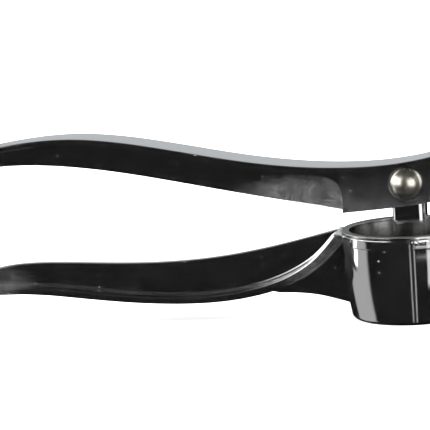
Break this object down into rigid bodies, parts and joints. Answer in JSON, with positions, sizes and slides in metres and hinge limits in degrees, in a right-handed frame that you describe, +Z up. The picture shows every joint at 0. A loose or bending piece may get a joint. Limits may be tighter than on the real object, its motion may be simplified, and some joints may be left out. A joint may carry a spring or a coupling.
{
  "type": "garlic press",
  "caption": "Hand garlic press with two T-section levers, a round cup holder with a lift-out perforated basket, and a square-stemmed plunger hung from the upper lever.",
  "frame": {"origin": "centre of the bottom of the whole object's box: the plane that the cup stands on, half way along and half way across", "axes": "+Z up along the cup's axis, +X along the handles towards the hinge, +Y across; the handles point to -X"},
  "size_m": [0.175, 0.04, 0.0564],
  "materials": {
    "chrome_casting": "bright chrome plate over a die-cast surface",
    "satin_steel": "matt stainless sheet",
    "chrome_plunger": "bright chrome plate",
    "rivet_steel": "polished warm-grey steel"
  },
  "bodies": {
    "base": {"lower_casting": "chrome_casting", "sieve_basket": "satin_steel"},
    "lever": {"upper_lever": "chrome_casting", "plunger_pin": "rivet_steel", "plunger_pin_cap": "rivet_steel", "hinge_pin": "rivet_steel", "hinge_pin_cap": "rivet_steel"},
    "plunger": {"plunger": "chrome_plunger"}
  },
  "joints": [
    {"name": "lever_hinge", "type": "hinge", "parent": "base", "child": "lever", "pos_m": [0.0811, 0, 0.0485], "axis": [0, 1, 0], "range_deg": [0, 60]},
    {"name": "plunger_swing", "type": "hinge", "parent": "lever", "child": "plunger", "pos_m": [0.0495, 0, 0.0392], "axis": [0, 1, 0], "range_deg": [-60, 0]}
  ],
  "couplings": [
    {"joint": "plunger_swing", "follows": "lever_hinge", "ratio": -1}
  ]
}
